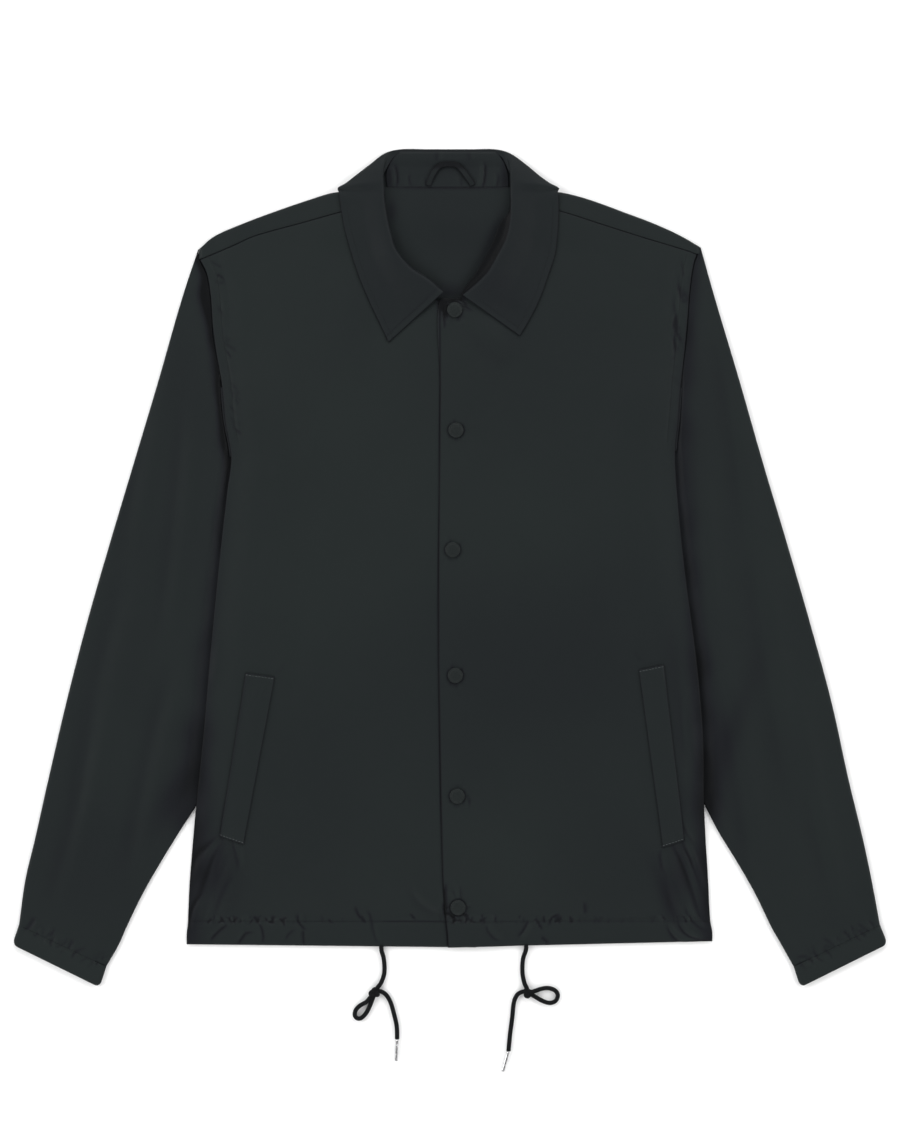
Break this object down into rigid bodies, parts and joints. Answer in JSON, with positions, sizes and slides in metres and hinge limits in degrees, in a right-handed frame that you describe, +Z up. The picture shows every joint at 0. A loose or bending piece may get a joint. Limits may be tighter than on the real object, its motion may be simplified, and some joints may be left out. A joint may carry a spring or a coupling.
{
  "type": "coach jacket",
  "caption": "Coach jacket of light dark nylon, fastened with press studs and laid flat on its back, with a pointed collar, slanted welt pockets, gathered cuffs and a hem drawcord.",
  "frame": {"origin": "on the surface it lies on, under the middle of the jacket's box without the cord ends", "axes": "+Y from the hem to the collar, +X towards the wearer's left side, +Z up from the surface"},
  "size_m": [0.8376, 0.8868, 0.0115],
  "materials": {
    "nylon": "satin",
    "tape": "matte",
    "stud": "satin",
    "cord": "matte",
    "metal": "brushed"
  },
  "bodies": {
    "root": {"back": "nylon", "front_right": "nylon", "front_left": "nylon", "sleeve_right": "nylon", "sleeve_left": "nylon", "cuff_right": "nylon", "cuff_left": "nylon", "collar": "nylon", "collar_stand": "nylon", "pocket_welt_right": "nylon", "pocket_welt_left": "nylon", "hanger_loop": "tape", "stud_1": "stud", "stud_2": "stud", "stud_3": "stud", "stud_4": "stud", "stud_5": "stud", "stud_6": "stud", "drawcord_right_lead": "cord", "drawcord_right_loop": "cord", "drawcord_right_tail": "cord", "knot_right": "cord", "drawcord_left_lead": "cord", "drawcord_left_loop": "cord", "drawcord_left_tail": "cord", "knot_left": "cord", "aglet_right": "metal", "aglet_left": "metal"}
  },
  "joints": []
}
